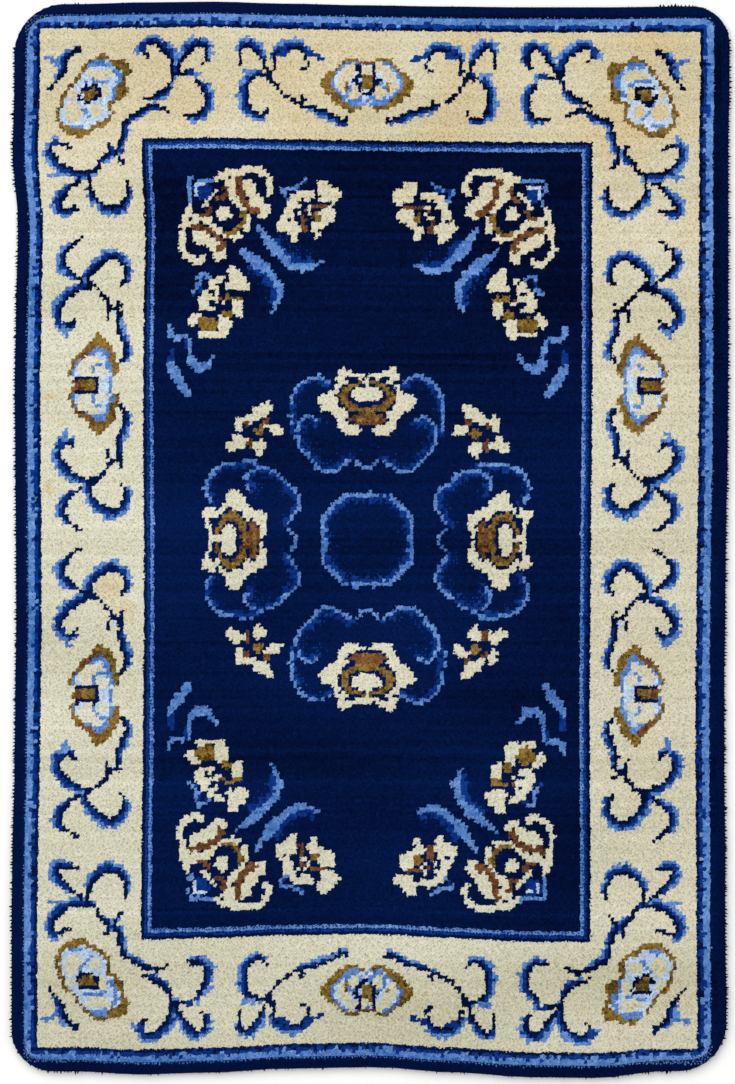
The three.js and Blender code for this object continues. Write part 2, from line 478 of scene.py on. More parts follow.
medallionFlower = [  # half of it
    ("fill", "cream", [
        (0, -26), (3, -29), (10, -32.5), (20, -32), (25.5, -26), (28, -19), (32, -14), (39, -11),
        (44, -4), (41, 4), (33, 5.5), (30, 9), (29, 14), (27, 22), (23, 27), (16, 24.5), (8, 20.5),
        (0, 20), (-6, 0),
    ]),
    ("line", "navy", [(30, 13), (25, 12.5)], 2.4), ("line", "navy", [(-1, -31), (1, -26)], 3.0),
    ("spot", "navy", (0, -19), (19, 7.0)), ("spot", "navy", (0, 0), (27.5, 17)),
    ("spot", "navy", (15, 16.5), (5, 2.8)), ("spot", "brown", (0, -19.2), (16.5, 5.2)),
    ("line", "gold", [(0, -21), (9, -20)], 2.4), ("spot", "gold", (0, 0), (24.8, 14.4)),
    ("spot", "brown", (0, 0.8), (19, 10.8)), ("spot", "navy", (0, 1.2), (17.8, 9.8)),
    ("spot", "cream", (0, 2.2), (14.8, 7.6)), ("block", "cream", (-1, 5), (3.6, 20)),
]
sprig = [  # x away from the middle, y towards the rug's end
    ("spot", "cream", (-15, 22), 4.2), ("spot", "cream", (-12, 18), 5.6),
    ("spot", "cream", (-6.5, 15), (7.6, 5.6)), ("spot", "cream", (0, 10.5), 4.6),
    ("spot", "cream", (10, 8.6), 4.8), ("spot", "cream", (11, 2.5), (3.4, 4.4)),
    ("spot", "cream", (-20, 1.3), (6, 4.8)), ("spot", "cream", (-25, -1), 2.8),
    ("spot", "cream", (-14, 3.5), 3.2), ("spot", "cream", (17.5, -13.4), (7, 4.8)),
    ("spot", "cream", (13.5, -7), 3.8), ("spot", "cream", (7.6, -11.7), (5.4, 4)),
    ("spot", "cream", (-7, -13.4), (7, 5.4)), ("spot", "cream", (-6, -20), 3.0),
    ("spot", "navy", (2, -2.5), 3.6), ("spot", "gold", (-6.2, -0.6), (4.6, 4.2)),
    ("spot", "brown", (-13.5, 8.8), 3.2), ("spot", "brown", (4, 5.4), 3.2),
    ("spot", "brown", (2.7, -11.5), (2.3, 6)),
]


def chartMedallion(at):
    x, y = np.abs(at[0]), np.abs(at[1])
    chance = np.random.default_rng(19).uniform(0, 1, len(x))
    halfX, halfY = medallion["ringHalf"]
    inRing = np.minimum.reduce([halfX - x, halfY - y, (medallion["ringCut"] - x - y) / math.sqrt(2)])
    for yarn, depth, more in reversed(medallion["ring"]):
        chart[(inRing > 0) & (inRing < depth + more * chance**2)] = yarnOf[yarn]
    glow[inRing > 0] = np.clip(1 - inRing / medallion["ringGlow"], 0, 1)[inRing > 0]
    outX, outY = medallion["flowerOut"]
    line = medallion["cloudLine"]
    sidePetal = flowerAxes((x, y), (outX, 0))[::-1]
    endPetal = flowerAxes((x, y), (0, outY))
    for s, t, flower in ((y, x, sidePetal), (x, y, endPetal)):
        for points, shade in medallion["clouds"]:
            reach = medallion["cloudGlow"] * shade
            found, away, hand, share = nearLine((s, t), smoothLine(points), line + reach)
            away = away - line / 2
            chart[found[(hand < 0) & (away < shade * chance[found])]] = yarnOf["royal"]
            chart[found[away < 0]] = yarnOf["sky"]
            glow[found] = np.maximum(glow[found], np.clip(1 - away / reach, 0, 1) * (hand < 0))
        drawMotif((s, t), medallion["bead"])
        drawMotif(flower, medallionFlower, creamThin["medallion"])
    drawMotif(flowerAxes((x, y), medallion["sprigAt"]), sprig, creamThin["sprig"])


# a spray in each corner of the field: a big flower on the diagonal, two lesser ones, leaves and hooks
spray = {
    "bigFlower": (122.0, 275.0),
    "endFlower": (49.3, 277.5),
    "sideFlower": (123.3, 208.1),
    "leaf": [(-29, -12), (-38, -24), (-48, -36.5), (-59, -45), (-70, -46.5), (-83, -41)],
    "leafWidth": [  # share of its length, and mm across
        (0.0, 2), (0.16, 7.5), (0.27, 10.5), (0.42, 7), (0.6, 6), (0.75, 7), (0.9, 4), (1.0, 2),
    ],
    "leafReach": 18.0,  # mm from its middle line that a leaf has any say
    "leafShade": 6.0,  # mm of shading at most
    "leafLeast": 0.4,  # share of it at least
    "leafSpan": (0.2, 0.95),  # part of the leaf that is shaded
    "leafGlow": 2.5,  # the navy glows this many times as far out
    "twig": [(-57, 9), (-50, 15), (-50, 22), (-62, 24), (-70, 30)],
    "twigCore": 0.1,
    "twigShade": [("sky", 3.4), ("royal", 5.2)],
    "small": [
        ("line", "sky", [(168, 178), (166.5, 171), (155, 169.5)], 4.4),
        ("line", "royal", [(153, 168), (151.5, 157)], 4.0),
        ("line", "sky", [(151, 168), (150, 156), (147, 148)], 3.4),
        ("line", "sky", [(149, 150), (144, 145), (135, 146)], 7.4),
        ("line", "sky", [(134, 149), (128, 156)], 3.2, 0.4),
        ("line", "royal", [(166, 158), (167, 148)], 5.0),
        ("line", "sky", [(168, 147), (161, 136), (152, 123)], 8.6, 0.4),
    ],
}
bigFlower = [  # half of it: s across the diagonal, w along it towards the rug's corner
    ("spot", "royal", (0, 27), 8.0), ("line", "sky", [(0, 41), (8, 33), (15, 26)], 3.4),
    ("line", "pale", [(0, 34), (6, 27)], 2.8),
    ("line", "cream", [(18, 25), (28, 21), (38, 14), (48, 5), (50, -4), (46.5, -13), (41, -15)], 7.0),
    ("spot", "cream", (30, 0), (8, 9)), ("spot", "cream", (26.5, -22), (7.5, 7)),
    ("spot", "cream", (27, -13), 7.0), ("spot", "cream", (29, 9), 8.0),
    ("line", "cream", [(22, 17), (17, 8), (14, 0), (13, -11), (9, -19), (5, -23)], 8.0),
    ("line", "navy", [(34, 10.5), (41, 3), (40.5, -5), (36.5, -12), (36.5, -20)], 4.2),
    ("line", "brown", [(29.5, 11), (22, 0), (19, -9), (20, -19)], 6.0),
    ("spot", "brown", (22, -19), (4.4, 3.6)), ("spot", "navy", (0, -4), (12.5, 14.5)),
    ("line", "cream", [(-1, 17), (9, 16.5)], 5.0),
    ("line", "brown", [(17, 14), (12, 9.5), (6, 11.5)], 4.0),
    ("line", "gold", [(0, -18.5), (8, -17), (12, -12)], 4.2), ("spot", "cream", (0, 0), (6.8, 7.2)),
]
endFlower = [  # x away from the middle line, y towards the rug's end
    ("spot", "cream", (-14, 22), (6, 5.6)), ("spot", "cream", (-21.5, 13.5), (7.5, 7)),
    ("spot", "cream", (-15, 15), 8.0), ("spot", "cream", (2.5, 14.4), (10, 4.6)),
    ("spot", "cream", (12, 11), 4.6), ("spot", "cream", (15.5, 5), 5.4),
    ("spot", "cream", (18.5, -2), 5.0), ("spot", "cream", (22.5, -8), 4.6),
    ("spot", "cream", (24, -13.5), (5.4, 5)), ("spot", "cream", (16.5, -15), (8, 8)),
    ("spot", "cream", (14, -23), 4.6), ("spot", "cream", (-5, -15), 5.0),
    ("spot", "cream", (-6.5, -21), 3.6), ("spot", "cream", (-17, -3), (8.4, 8)),
    ("spot", "cream", (-12, -8.5), 6.0), ("spot", "navy", (6.5, 1), (7, 4.6)),
    ("spot", "navy", (-1, 7), (6, 2.4)), ("spot", "navy", (4, -8), 4.4),
    ("spot", "navy", (-8.6, 12.6), 2.6), ("spot", "navy", (19.5, -8), (2.2, 2.6)),
    ("spot", "navy", (-24, 5), (3.4, 2)),
    ("line", "cream", [(10, 5), (1, 5), (-1.5, 0), (3.5, -4), (10, -2.6)], 2.8),
    ("line", "brown", [(-4, 4.2), (-16, 4.2)], 3.6), ("spot", "brown", (3, 0.4), 2.2),
    ("line", "brown", [(5.6, -7), (5.2, -17)], 4.6), ("spot", "gold", (-6.8, -6), (3.8, 4.6)),
]
sideFlower = [
    ("spot", "cream", (-10, 18), (5.6, 6)), ("spot", "cream", (-14.5, 10), (8.4, 7.6)),
    ("spot", "cream", (-20, 7.5), 4.6), ("spot", "cream", (-7.6, 6.8), 4.6),
    ("spot", "cream", (2, 12), (4, 3.6)), ("spot", "cream", (9, 7.5), (4.6, 5)),
    ("spot", "cream", (14, 0), 5.4), ("spot", "cream", (17, -8.5), (6.4, 8)),
    ("spot", "cream", (11, -4), 4.4), ("spot", "cream", (11, -13.5), 4.0),
    ("spot", "cream", (-13.5, -9.5), (5.4, 7)), ("spot", "cream", (-14, -16), 5.0),
    ("spot", "navy", (0, 4), (4.6, 4)), ("spot", "navy", (-2, -10), (4, 4)),
    ("spot", "navy", (-4.5, 12.5), 2.4), ("spot", "navy", (12, -9), 2.2),
    ("spot", "navy", (9.5, 1.5), 2.0),
    ("line", "cream", [(4.5, 4), (6, -3.4), (2.5, -9), (-1, -6.6)], 3.0),
    ("line", "gold", [(-4, -3), (-16, -4)], 4.0), ("spot", "brown", (2, -4), 2.0),
    ("spot", "cream", (26.5, -25), (5.6, 5)), ("spot", "cream", (23, -20.5), 4.4),
    ("spot", "cream", (14, -36), (9.5, 3)), ("spot", "cream", (-1, -27), (7, 9)),
    ("spot", "cream", (1, -35.5), (6.4, 4.4)), ("spot", "gold", (13.5, -27), (9.4, 7.6)),
    ("spot", "gold", (-4, -17.5), (4.6, 3.8)), ("spot", "navy", (10, -18), (7, 2.6)),
]


def chartSprays(at):
    x, y = np.abs(at[0]), np.abs(at[1])
    bigX, bigY = spray["bigFlower"]
    chance = np.random.default_rng(23).uniform(0, 1, len(x))
    for one, other in ((x - bigX, y - bigY), (y - bigY, x - bigX)):  # both sides of the diagonal
        found, away, hand, share = nearLine((one, other), smoothLine(spray["leaf"]), spray["leafReach"])
        away = away - np.interp(share, *zip(*spray["leafWidth"])) / 2
        inside = (hand < 0) & (share > spray["leafSpan"][0]) & (share < spray["leafSpan"][1])
        shade = spray["leafShade"] * (spray["leafLeast"] + (1 - spray["leafLeast"]) * chance[found])
        chart[found[inside & (away < shade)]] = yarnOf["royal"]
        chart[found[away < 0]] = yarnOf["sky"]
        leafGlow = np.clip(1 - away / (spray["leafGlow"] * spray["leafShade"]), 0, 1) * inside
        glow[found] = np.maximum(glow[found], leafGlow)
        shadedStroke((one, other), spray["twig"], spray["twigCore"], 1, spray["twigShade"], span=(0, 1))
    drawMotif((x, y), spray["small"])
    drawMotif(flowerAxes((x, y), spray["endFlower"]), endFlower, creamThin["endFlower"])
    drawMotif(flowerAxes((x, y), spray["sideFlower"]), sideFlower, creamThin["sideFlower"])
    across, along = turnedAxes(flowerAxes((x, y), spray["bigFlower"]), -45)
    drawMotif((np.abs(across), along), bigFlower, creamThin["bigFlower"])


knotX, knotY = knotGrid(knotChart["pitch"], knotChart["halfWidth"], knotChart["halfLength"])
chart = np.zeros(len(knotX), int)
second = np.full(len(knotX), -1)  # the yarn of a knot's other strand, where it differs
glow = np.zeros(len(knotX))  # how much a navy knot is lit up by lighter strands
uneven = np.random.default_rng(3).uniform(-1, 1, len(knotX))  # how each knot strays
strayX = knotX + knotChart["stray"] * slowNoise(knotX, knotY, knotChart["straySize"], 5)
strayY = knotY + knotChart["stray"] * slowNoise(knotX, knotY, knotChart["straySize"], 6)
offX, offY = knotChart["offCentre"]
chartBands((knotX, knotY), (knotX - offX, knotY - offY))
slips = np.random.default_rng(11).normal(0, knotChart["slip"], (2, len(knotX)))
drawn = (strayX - offX + slips[0], strayY - offY + slips[1])
chartBorder(drawn)
chartMedallion(drawn)
chartSprays(drawn)
glowing = np.random.default_rng(29).uniform(0, 1, len(knotX)) < knotChart["blend"] * glow
second[glowing & (chart == yarnOf["navy"])] = yarnOf["royal"]
second = np.where(second < 0, chart, second)


# where the knots lie: the square chart drawn out to the rug's own uneven edge
edgeFit = {
    "cornerKeep": 60.0,  # mm at each corner that the fit of a side leaves out
    "sideDepth": 15.0,  # mm in from the widest place that a side strays
    "reach": 40.0,  # mm in from the edge that the edge has any say
    "slack": 6.0,  # mm more, as the edge is uneven
    "perStep": 24,  # points added between two of the solid's own
}
fineEdge = np.vstack([
    here + (there - here) * np.linspace(0, 1, edgeFit["perStep"], endpoint=False)[:, None]
    for here, there in zip(edge, np.roll(edge, -1, axis=0))
])
edgeRun = np.roll(fineEdge, -1, axis=0) - np.roll(fineEdge, 1, axis=0)
edgeOut = np.stack([edgeRun[:, 1], -edgeRun[:, 0]], 1) / np.hypot(*edgeRun.T)[:, None]
edgeTree = KDTree(len(fineEdge))
for number, (x, y) in enumerate(fineEdge):
    edgeTree.insert((x, y, 0), number)
edgeTree.balance()


def sideReach(axis, sign, place):  # how far one side of the rug reaches, at places along it
    along = 1 - axis
    onSide = edge[:, axis] * sign > edgeHalf[axis] - edgeFit["sideDepth"]
    onSide &= np.abs(edge[:, along]) < edgeHalf[along] - edgeFit["cornerKeep"]
    points = edge[onSide]
    points = points[np.argsort(points[:, along])]
    return np.interp(place, points[:, along], np.abs(points[:, axis]))


def toRug(x, y):
    reachX = np.where(x > 0, sideReach(0, 1, y), sideReach(0, -1, y))
    reachY = np.where(y > 0, sideReach(1, 1, x), sideReach(1, -1, x))
    return x * reachX / knotChart["halfWidth"], y * reachY / knotChart["halfLength"]


def inFromEdge(x, y):  # distance in from the edge, and the way out to it
    depth = np.full(len(x), edgeFit["reach"])
    way = np.zeros((len(x), 2))
    inner = edgeHalf - edgeFit["reach"] - edgeFit["slack"]
    for i in np.flatnonzero((np.abs(x) > inner[0]) | (np.abs(y) > inner[1])):
        nearest = edgeTree.find((x[i], y[i], 0))[1]
        way[i] = edgeOut[nearest]
        depth[i] = min(edgeFit["reach"], (fineEdge[nearest] - (x[i], y[i])) @ way[i])
    return depth, way


# shades of wool, and a material for each
wools = {  # slot, darkest and lightest shade, and how much the shade changes from tuft to tuft
    "navy": ("wool_navy", "#000623", "#021b50", 0.1),
    "cream": ("wool_cream", "#bebba0", "#dbd9c7", 0.1),
    "royal": ("wool_royal_blue", "#031b62", "#12408f", 0.18),
    "sky": ("wool_sky_blue", "#2d5da4", "#7299d0", 0.2),
    "pale": ("wool_pale_blue", "#95afcb", "#d0dbe6", 0.2),
    "gold": ("wool_gold", "#41310d", "#977838", 0.28),
    "brown": ("wool_brown", "#3a1f0c", "#84583a", 0.25),
}
wear = {
    "stain": "#c6a052",  # tan of old stains, and of the cream where it is yellower along and across the rug
    "stains": [  # mm from the middle, mm across each way, and strength
        (-63.5, 355, 4, 6, 0.5), (-272, 120, 7, 4, 0.45), (-273, 43, 4, 5, 0.45), (-261, 99, 4, 3, 0.25),
        (-247, 65, 4, 3, 0.25), (-222, -39, 14, 16, 0.34), (-209, -59, 10, 12, 0.28),
    ],
    # mm along or across the rug, and how much yellower the cream is there
    "yellowerAlong": [(-460, 0.0), (100, 0.02), (280, 0.1), (350, 0.26), (460, 0.26)],
    "yellowerAcross": [(-305, -0.05), (-240, -0.05), (-150, 0.0), (150, 0.0), (230, 0.06), (305, 0.06)],
    "patchy": 0.3,  # how uneven that is
    "patchSize": 70.0,  # mm
    "stainFade": 1.3,  # a stain ends at this many times its size
    "rows": 0.09,  # how much the shade changes from row to row of knots
    "rowCount": 400,
    "firstRow": -500.0,  # mm along the rug
    "slow": 0.14,  # and in slow bands along the rug
    "slowSize": 90.0,  # mm from band to band
    "slowAcross": 0.35,  # share of that change across the rug
    "shadeAlong": {  # yarns whose shade changes slowly along the rug: mm along the rug, and how much lighter
        "navy": [(-460, 0.0), (-150, 0.05), (0, 0.15), (120, 0.02), (220, -0.28), (460, -0.2)],
        "cream": [(-460, -0.2), (-370, -0.15), (-320, 0.02), (280, 0.02), (350, -0.08), (460, -0.08)],
    },
    # mm across the rug, and how much lighter the navy is: darker towards the right
    "navyAcross": [(-305, 0.04), (60, 0.0), (180, -0.16), (305, -0.16)],
    "glow": 0.25,  # how much lighter the navy is where it glows
}
cutWool = {
    "fibre": 0.9,  # mm across a strand of the yarn, drawn coarser than wool so that it shows
    "lengthways": 0.3,  # strands run up the tuft, so their noise is drawn out that way
    "relief": 0.35,
    "roughness": 0.95,
    "shine": 0.04,
    "bloom": 0.05,
}


# cut wool: matt, with a faint bloom of fibre ends, and its shade uneven from tuft to tuft
def woolMaterial(name, dark, light):
    material = bpy.data.materials.new(name)
    material.use_nodes = True
    tree = material.node_tree
    tree.nodes.clear()
    shade = node(tree, "ShaderNodeAttribute", attribute_name="tone")
    stained = node(tree, "ShaderNodeAttribute", attribute_name="stain")
    place = node(tree, "ShaderNodeTexCoord")
    along = node(tree, "ShaderNodeMapping", {
        "Vector": place.outputs["Object"], "Scale": (1, 1, cutWool["lengthways"])})
    strands = node(tree, "ShaderNodeTexNoise", {
        "Vector": along.outputs[0], "Scale": 1 / (cutWool["fibre"] * mm), "Detail": 1.0})
    colour = node(tree, "ShaderNodeMix", {0: shade.outputs["Fac"], 6: linear(dark), 7: linear(light)},
                  data_type="RGBA")
    worn = node(tree, "ShaderNodeMix", {
        0: stained.outputs["Fac"], 6: colour.outputs[2], 7: linear(wear["stain"])}, data_type="RGBA")
    relief = node(tree, "ShaderNodeBump", {
        "Height": strands.outputs[0], "Strength": cutWool["relief"], "Distance": cutWool["fibre"] * mm / 2})
    wool = node(tree, "ShaderNodeBsdfPrincipled", {
        "Base Color": worn.outputs[2], "Normal": relief.outputs[0],
        "Roughness": cutWool["roughness"], "Specular IOR Level": cutWool["shine"],
        "Sheen Weight": cutWool["bloom"], "Sheen Roughness": 0.5, "Sheen Tint": linear(light),
    })
    node(tree, "ShaderNodeOutputMaterial", {"Surface": wool.outputs[0]})
    return material


woolMaterials = {
    yarn: woolMaterial(f"cut wool, {yarn}", dark, light)
    for yarn, (slot, dark, light, change) in wools.items()
}
shadeChange = np.array([wools[yarn][3] for yarn in yarnNames])
toneRandom = np.random.default_rng(77)
rowTones = toneRandom.normal(0, 1, wear["rowCount"])


def toneAt(x, y, yarn, lighter):  # how light the wool is: chance, rows of knots and slow bands
    row = ((y - wear["firstRow"]) / knotChart["pitch"]).astype(int)
    tone = 0.5 + shadeChange[yarn] * toneRandom.normal(0, 1, len(x)) + wear["rows"] * rowTones[row]
    tone += wear["slow"] * slowNoise(x * wear["slowAcross"], y, wear["slowSize"], 41)
    for name, table in wear["shadeAlong"].items():
        tone += np.interp(y, *zip(*table)) * (yarn == yarnOf[name])
    tone += (np.interp(x, *zip(*wear["navyAcross"])) + wear["glow"] * lighter) * (yarn == yarnOf["navy"])
    return np.clip(tone, 0, 1)


def stainAt(x, y, yarn):  # how yellow the cream is: changing slowly across the rug, and at old stains
    stain = np.interp(y, *zip(*wear["yellowerAlong"])) + np.interp(x, *zip(*wear["yellowerAcross"]))
    stain = np.clip(stain * (1 + wear["patchy"] * slowNoise(x, y, wear["patchSize"], 43)), 0, 1)
    for atX, atY, acrossX, acrossY, strength in wear["stains"]:
        away = np.hypot((x - atX) / acrossX, (y - atY) / acrossY)
        stain = np.maximum(stain, strength * np.clip(wear["stainFade"] - away, 0, 1))
    return stain * (yarn == yarnOf["cream"])


def addShades(mesh, domain, tone, stain):
    mesh.attributes.new("tone", "FLOAT", domain).data.foreach_set("value", tone)
    mesh.attributes.new("stain", "FLOAT", domain).data.foreach_set("value", stain)


def planarMap(mesh):  # a map for baking, looking straight down on the rug
    flat = np.empty(len(mesh.vertices) * 3)
    mesh.vertices.foreach_get("co", flat)
    corners = np.empty(len(mesh.loops), int)
    mesh.loops.foreach_get("vertex_index", corners)
    place = flat.reshape(-1, 3)[corners, :2]
    low, size = np.array(cadLow)[:2], np.array(cadHigh - cadLow)[:2]
    layer = mesh.uv_layers.new(name="OFBake")
    layer.data.foreach_set("uv", np.clip((place - low) / size, 0, 1).ravel())


def addPiece(name, points, faces, materials):
    mesh = bpy.data.meshes.new(name)
    mesh.from_pydata(points * mm, [], faces)
    for material in materials:
        mesh.materials.append(material)
    piece = bpy.data.objects.new(name, mesh)
    bpy.context.scene.collection.objects.link(piece)
    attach(piece, "root")
    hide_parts("rug")
    return piece


# two closed slabs of knots, one face to a knot: the dense foot of the pile, and the knotted back
slabs = {
    "edgeTuck": 7.0,  # mm that the outermost knots are drawn in from the reach of the tips
    "tuckDepth": 12.0,  # over this depth
    "tuckEase": 2.5,
    "cornerDepth": -14.0,  # the chart's own corner lies this far outside the rug's round one
    "jitter": 0.5,  # mm that the knots stand out of line
    "bedHeight": 9.5,
    "bedDroop": 0.9,  # mm that the bed falls towards the edge
    "droopEase": 3.0,
    "wave": 0.12,  # mm that the bed and the tips rise and fall
    "waveSize": 60.0,
    "rimTone": 0.4,
    "bedRim": [  # mm out from the last knot, and height
        (4.0, 8.2), (6.6, 7.2), (7.4, 5.4), (6.6, 3.0), (4.2, 1.2),
    ],
    "backRim": [(2.2, 0.4), (2.7, 1.5)],
    "cornerTrim": 0.4,  # share of the rim that the round corners lack
}
columns = round(2 * knotChart["halfWidth"] / knotChart["pitch"])
rows = round(2 * knotChart["halfLength"] / knotChart["pitch"])
cornerX, cornerY = np.meshgrid(
    (np.arange(columns + 1) - columns / 2) * knotChart["pitch"],
    (np.arange(rows + 1) - rows / 2) * knotChart["pitch"])
slabX, slabY = toRug(cornerX.ravel(), cornerY.ravel())
slabDepth, slabOut = inFromEdge(slabX, slabY)
share = np.clip((slabDepth - slabs["cornerDepth"]) / (slabs["tuckDepth"] - slabs["cornerDepth"]), 0, 1)
tucked = slabs["edgeTuck"] + (slabs["tuckDepth"] - slabs["edgeTuck"]) * share ** slabs["tuckEase"]
moved = np.where(slabDepth < slabs["tuckDepth"], slabDepth - tucked, 0)
jitter = np.random.default_rng(8).normal(0, slabs["jitter"], (2, len(slabX)))
jitter = jitter * (slabDepth > slabs["tuckDepth"])
slabX = slabX + slabOut[:, 0] * moved + jitter[0]
slabY = slabY + slabOut[:, 1] * moved + jitter[1]
grid = np.arange((columns + 1) * (rows + 1)).reshape(rows + 1, columns + 1)
knotFaces = np.stack([grid[:-1, :-1], grid[:-1, 1:], grid[1:, 1:], grid[1:, :-1]], 2).reshape(-1, 4)
rimRun = np.concatenate([grid[0, :-1], grid[:-1, -1], grid[-1, :0:-1], grid[:0:-1, 0]])  # counter-clockwise


def pileWave(x, y):
    return slabs["wave"] * slowNoise(x, y, slabs["waveSize"], 31)


def addSlab(name, height, rim, up, materials):
    points = [np.stack([slabX, slabY, height], 1)]
    faces = [tuple(face) for face in (knotFaces if up else knotFaces[:, ::-1]).tolist()]
    last = rimRun
    wayOut = slabOut[rimRun]
    wayOut = wayOut * (1 - slabs["cornerTrim"] * 2 * np.abs(wayOut[:, 0] * wayOut[:, 1]))[:, None]
    for out, level in rim:
        ring = len(slabX) + (len(points) - 1) * len(rimRun) + np.arange(len(rimRun))
        points.append(np.stack([
            slabX[rimRun] + wayOut[:, 0] * out, slabY[rimRun] + wayOut[:, 1] * out,
            np.full(len(rimRun), level)], 1))
        for a, b, c, d in zip(last, np.roll(last, -1), np.roll(ring, -1), ring):
            faces.append((a, d, c, b) if up else (a, b, c, d))
        last = ring
    faces.append(tuple(last[::-1] if up else last))
    return addPiece(name, np.vstack(points), faces, materials)


pastTuck = np.maximum(tucked, slabDepth) - slabs["edgeTuck"]
bedHeight = slabs["bedHeight"] + pileWave(slabX, slabY)
bedHeight = bedHeight - slabs["bedDroop"] * np.exp(-pastTuck / slabs["droopEase"])
bed = addSlab("pile_foot", bedHeight, slabs["bedRim"], True, [woolMaterials[yarn] for yarn in yarnNames])
bedYarn = np.zeros(len(bed.data.polygons), int)
bedYarn[:len(chart)] = chart
bed.data.polygons.foreach_set("material_index", bedYarn)
bedTone = np.full(len(bed.data.polygons), slabs["rimTone"])
bedTone[:len(chart)] = toneAt(knotX, knotY, chart, glow)
bedStain = np.zeros(len(bed.data.polygons))
bedStain[:len(chart)] = stainAt(knotX, knotY, chart)
addShades(bed.data, "FACE", bedTone, bedStain)
planarMap(bed.data)
print("pile foot", len(bed.data.polygons), "faces")


# knotted back: each knot shows as two small bumps of its own yarn, in rows parted by the weft
def backMaterial(name):
    material = bpy.data.materials.new(name)
    material.use_nodes = True
    tree = material.node_tree
    tree.nodes.clear()
    colour = node(tree, "ShaderNodeAttribute", attribute_name="knotColour")
    place = node(tree, "ShaderNodeTexCoord")
    parts = node(tree, "ShaderNodeSeparateXYZ", {0: place.outputs["Object"]})
    perKnot = 2 * math.pi / (knotChart["pitch"] * mm)
    across = node(tree, "ShaderNodeMath", {0: parts.outputs["X"], 1: 2 * perKnot}, operation="MULTIPLY")
    along = node(tree, "ShaderNodeMath", {0: parts.outputs["Y"], 1: perKnot}, operation="MULTIPLY")
    bumpsX = node(tree, "ShaderNodeMath", {0: across.outputs[0]}, operation="COSINE")
    bumpsY = node(tree, "ShaderNodeMath", {0: along.outputs[0]}, operation="COSINE")
    bumps = node(tree, "ShaderNodeMath", {0: bumpsX.outputs[0], 1: bumpsY.outputs[0]}, operation="ADD")
    relief = node(tree, "ShaderNodeBump", {
        "Height": bumps.outputs[0], "Strength": 0.6, "Distance": knotChart["pitch"] * mm / 8})
    ground = node(tree, "ShaderNodeBsdfPrincipled", {
        "Base Color": colour.outputs["Color"], "Roughness": 0.9, "Specular IOR Level": 0.1,
        "Normal": relief.outputs[0]})
    node(tree, "ShaderNodeOutputMaterial", {"Surface": ground.outputs[0]})
    return material


backWool = backMaterial("knotted wool back")
back = addSlab("knotted_back", np.zeros(len(slabX)), slabs["backRim"], False, [backWool])
darks = np.array([linear(wools[yarn][1]) for yarn in yarnNames])
lights = np.array([linear(wools[yarn][2]) for yarn in yarnNames])
backYarn, backTone = bedYarn[:len(back.data.polygons)], bedTone[:len(back.data.polygons), None]
backColour = darks[backYarn] * (1 - backTone) + lights[backYarn] * backTone
knotColour = back.data.attributes.new("knotColour", "FLOAT_COLOR", "FACE")
knotColour.data.foreach_set("color", backColour.ravel())
planarMap(back.data)
print("knotted back", len(back.data.polygons), "faces")

# the pile: cut ends of yarn, each a slender three-sided spike with its foot in the bed
pile = {
    "foot": 0.8,  # mm below the bed's top
    "tip": 10.6,  # mm above the floor
    "radius": 1.9,
    "thickness": (0.8, 1.2),  # share of that, at random
    "rootInset": 3.0,  # the outermost feet are this far in from the reach of the tips
    "rimFoot": 5.0,  # and this high
    "splay": 4.0,  # mm that the outermost tips lean out, easing off inwards
    "splayEase": 6.5,
    "splayDrop": 3.0,  # and how much lower they stand
    "dropEase": 1.5,
    "nap": (0.1, -0.5),  # mm that all the tips lean one way
    "loose": 0.7,  # mm of lean at random
    "rootJitter": 0.22,  # mm that the feet stand out of line
    "uneven": 0.15,  # mm of height at random
    "cornerTrim": 0.6,  # share of the splay that the round corners lack
    "cornerInset": 1.2,  # mm that their outermost feet stand further in
    "edgeRows": 13.0,  # mm in from the reach where the tufts stand twice as thick
    "mostTufts": 48000,  # in one piece
}
random = np.random.default_rng(2024)
rugX, rugY = toRug(knotX, knotY)
quarter = knotChart["pitch"] / 4
rootX = np.concatenate([rugX - quarter, rugX + quarter])
rootY = np.concatenate([rugY - quarter, rugY + quarter])
tuftYarn = np.concatenate([chart, second])
tuftGlow = np.concatenate([glow, glow])
depth, way = inFromEdge(rootX, rootY)
atCorner = 2 * np.abs(way[:, 0] * way[:, 1])  # 1 where the edge runs on the diagonal
kept = np.flatnonzero(depth > pile["rootInset"] + pile["cornerInset"] * atCorner)
kept = np.concatenate([kept, kept[depth[kept] < pile["edgeRows"]]])
rootX, rootY, depth, way, atCorner = rootX[kept], rootY[kept], depth[kept], way[kept], atCorner[kept]
tuftYarn, tuftGlow = tuftYarn[kept], tuftGlow[kept]
count = len(rootX)
rootX = rootX + random.normal(0, pile["rootJitter"], count)
rootY = rootY + random.normal(0, pile["rootJitter"], count)
splay = np.where(depth < edgeFit["reach"], np.exp(-(depth - pile["rootInset"]) / pile["splayEase"]), 0)
lean = way * (splay * pile["splay"] * (1 - pile["cornerTrim"] * atCorner))[:, None] + np.array(pile["nap"])
lean = lean + random.normal(0, pile["loose"], (count, 2))
wave = pileWave(rootX, rootY)
tip = pile["tip"] + wave - pile["splayDrop"] * splay ** pile["dropEase"]
tip = np.minimum(tip + pile["uneven"] * random.normal(0, 1, count), cadHigh.z / mm)
foot = slabs["bedHeight"] + wave - pile["foot"]
foot = foot - (slabs["bedHeight"] - pile["foot"] - pile["rimFoot"]) * splay
turn = random.uniform(0, 2 * math.pi, count)
radius = pile["radius"] * random.uniform(*pile["thickness"], count)
points = np.zeros((count, 4, 3))
for corner in range(3):
    angle = turn + corner * 2 * math.pi / 3
    points[:, corner, 0] = rootX + radius * np.cos(angle)
    points[:, corner, 1] = rootY + radius * np.sin(angle)
    points[:, corner, 2] = foot
points[:, 3, 0] = rootX + lean[:, 0]
points[:, 3, 1] = rootY + lean[:, 1]
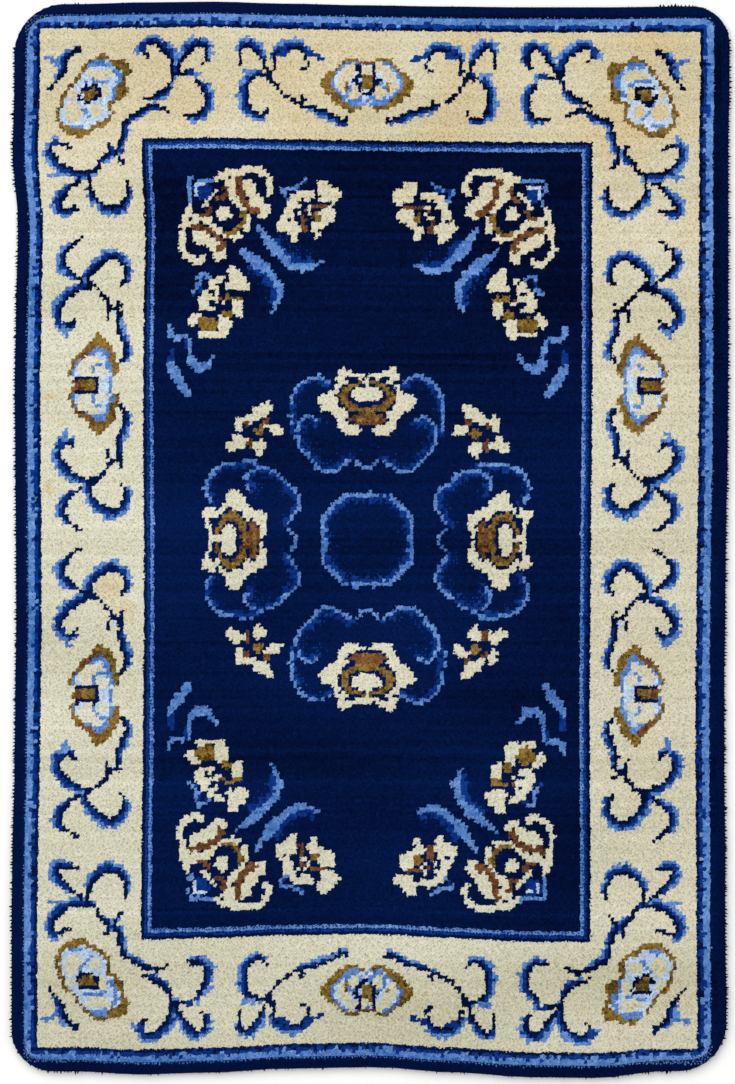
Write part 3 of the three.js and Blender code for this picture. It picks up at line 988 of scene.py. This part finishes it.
points[:, 3, 2] = tip
tuftFaces = np.array([(0, 2, 1), (0, 1, 3), (1, 2, 3), (2, 0, 3)])
tone = toneAt(rootX, rootY, tuftYarn, tuftGlow)
stain = stainAt(rootX, rootY, tuftYarn)

for yarn, (slot, dark, light, change) in wools.items():
    own = np.flatnonzero(tuftYarn == yarnOf[yarn])
    own = own[np.argsort(rootY[own], kind="stable")]
    parts = math.ceil(len(own) / pile["mostTufts"])
    for number, chosen in enumerate(np.array_split(own, parts)):
        faces = (np.arange(len(chosen)) * 4)[:, None, None] + tuftFaces
        piece = addPiece(
            f"pile_{yarn}_{number + 1}", points[chosen].reshape(-1, 3), faces.reshape(-1, 3),
            [woolMaterials[yarn]])
        piece.data.polygons.foreach_set("use_smooth", np.ones(len(piece.data.polygons), bool))
        addShades(piece.data, "POINT", np.repeat(tone[chosen], 4), np.repeat(stain[chosen], 4))
        planarMap(piece.data)
        print("pile", piece.name, len(chosen), "tufts")

# floor, light and camera
studio = {
    "floor": "#f7f7f5",
    "floorHalf": 4.0,  # metres
    "floorRoughness": 0.9,
    "floorDrop": 0.2,  # mm, so that floor and back are not in one plane
    "sky": 0.75,
    "lamp": 38.0,
    "lampSize": 2.2,
    "lampAt": (-0.5, 0.9, 2.2),
}
bm = bmesh.new()
bmesh.ops.create_grid(bm, x_segments=1, y_segments=1, size=studio["floorHalf"])
bmesh.ops.translate(bm, verts=bm.verts, vec=(0, 0, -studio["floorDrop"] * mm))
floorMesh = bpy.data.meshes.new("floor")
bm.to_mesh(floorMesh)
bm.free()
floor = bpy.data.objects.new("floor", floorMesh)
bpy.context.scene.collection.objects.link(floor)
floorMaterial = bpy.data.materials.new("pale studio floor")
floorMaterial.use_nodes = True
paint = floorMaterial.node_tree.nodes["Principled BSDF"]
paint.inputs["Base Color"].default_value = linear(studio["floor"])
paint.inputs["Roughness"].default_value = studio["floorRoughness"]
floorMesh.materials.append(floorMaterial)

world = bpy.data.worlds.new("studio")
world.use_nodes = True
background = world.node_tree.nodes["Background"]
background.inputs["Color"].default_value = (1, 1, 1, 1)
background.inputs["Strength"].default_value = studio["sky"]
bpy.context.scene.world = world
lampData = bpy.data.lights.new("soft box", "AREA")
lampData.energy = studio["lamp"]
lampData.size = studio["lampSize"]
lamp = bpy.data.objects.new("soft box", lampData)
lamp.location = studio["lampAt"]
lamp.rotation_euler = (-lamp.location).to_track_quat("-Z", "Y").to_euler()
bpy.context.scene.collection.objects.link(lamp)

view = {
    "middle": (-2.55, -1.83),  # mm, what the camera looks straight down on
    "height": 917.6,  # mm of the pile's top in the picture, from top to bottom
    "lens": 130.0,
    "sensor": 36.0,
    "far": 50.0,  # metres
}
cameraData = bpy.data.cameras.new("overhead")
cameraData.lens = view["lens"]
cameraData.sensor_width = view["sensor"]
cameraData.clip_end = view["far"]
camera = bpy.data.objects.new("overhead", cameraData)
camera.location = (view["middle"][0] * mm, view["middle"][1] * mm,
                   cadHigh.z + view["height"] * mm * view["lens"] / view["sensor"])
bpy.context.scene.collection.objects.link(camera)
bpy.context.scene.camera = camera
bpy.context.scene.view_settings.view_transform = "Standard"
